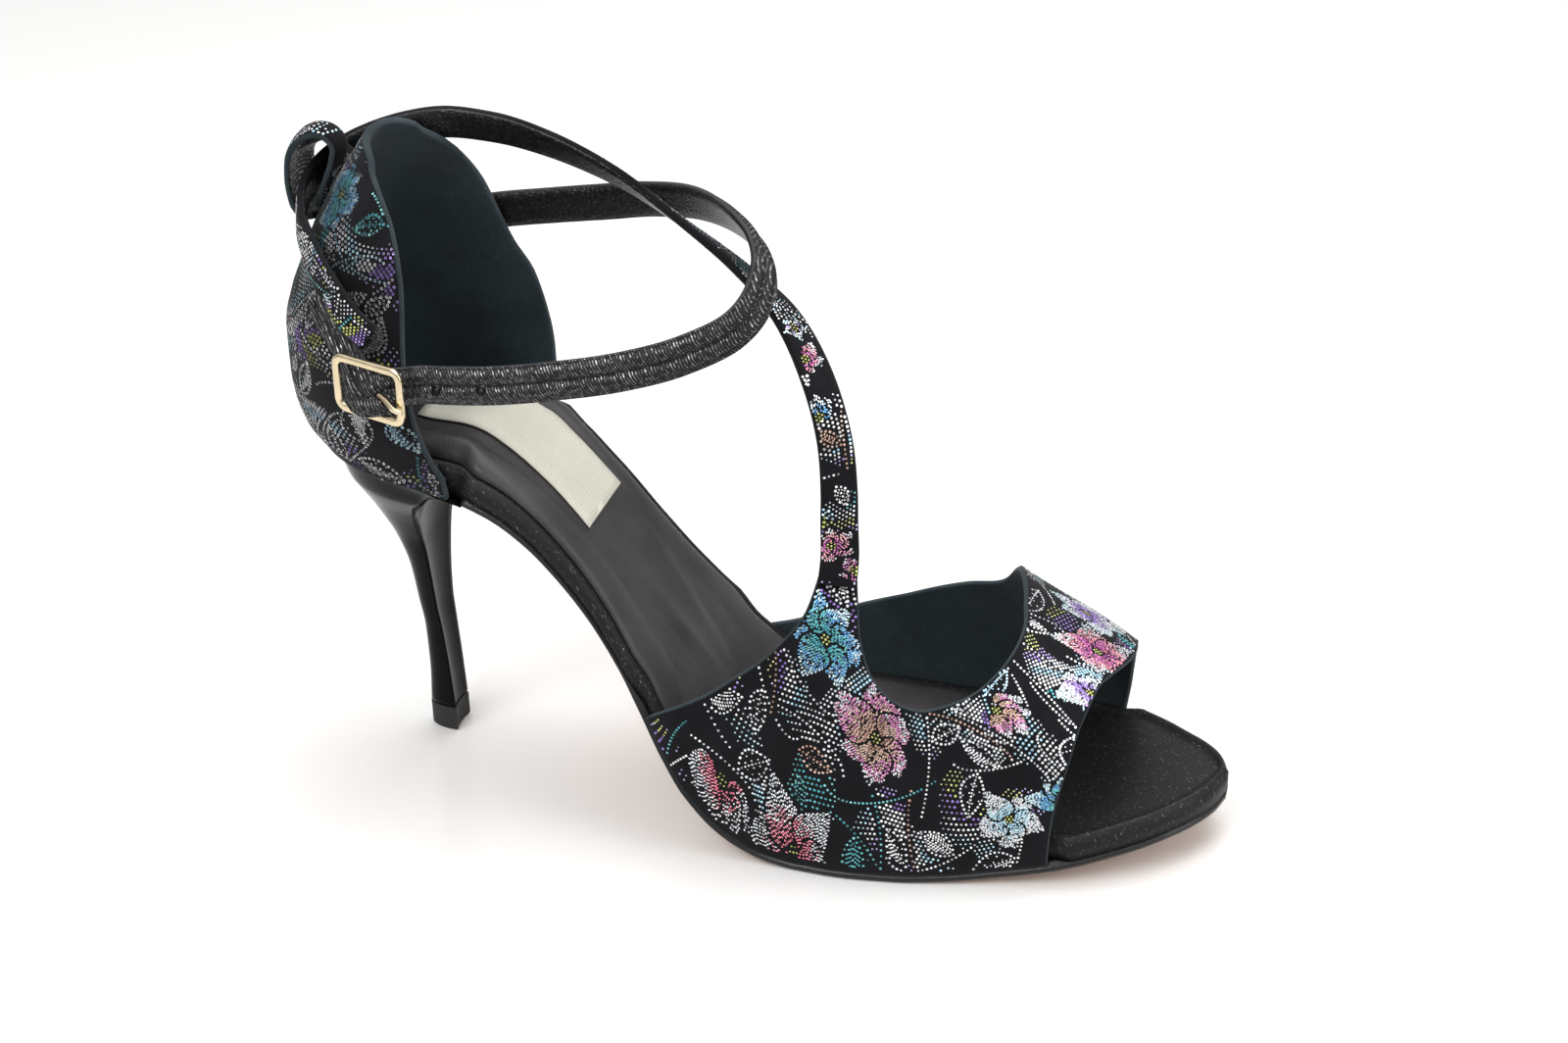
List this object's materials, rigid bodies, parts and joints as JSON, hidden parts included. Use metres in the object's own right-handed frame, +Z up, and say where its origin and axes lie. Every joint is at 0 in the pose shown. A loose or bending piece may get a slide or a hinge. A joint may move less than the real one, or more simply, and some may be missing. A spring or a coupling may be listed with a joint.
{
  "type": "tango shoe",
  "caption": "Open high-heeled tango sandal: peep-toe vamp with a T-shaped tongue, tall heel cage, floral strap through a back loop, buckled ankle strap and a slim heel.",
  "frame": {"origin": "centre of the bounding box in plan, on the floor under the forefoot and the heel tip", "axes": "+X to the toe, +Y to the inner side of the foot, +Z up"},
  "size_m": [0.2174, 0.0786, 0.153],
  "materials": {
    "foil_print_suede": "black suede with a foil print",
    "foil_print_counter": "black suede with a foil print",
    "foil_print_strap": "black suede with a foil print",
    "foil_print_loop": "black suede with a foil print",
    "shimmer_leather_strap": "black leather with a fine silver shimmer",
    "shimmer_leather_board": "black leather with a fine silver shimmer",
    "sole_leather": "smooth sole leather, black edge",
    "sock_leather": "matt dark grey",
    "label_cloth": "bare cream cloth",
    "heel_gloss": "high gloss lacquer",
    "tip_rubber": "matt",
    "pale_gold": "polished pale gold plate",
    "pin_gold": "polished pale gold plate"
  },
  "bodies": {
    "root": {"vamp": "foil_print_suede", "heel_counter": "foil_print_counter", "floral_strap": "foil_print_strap", "back_loop": "foil_print_loop", "ankle_strap": "shimmer_leather_strap", "insole_board": "shimmer_leather_board", "outsole": "sole_leather", "sock_lining": "sock_leather", "sock_label": "label_cloth", "heel": "heel_gloss", "heel_tip": "tip_rubber", "buckle_frame": "pale_gold", "buckle_prong": "pin_gold"}
  },
  "joints": []
}
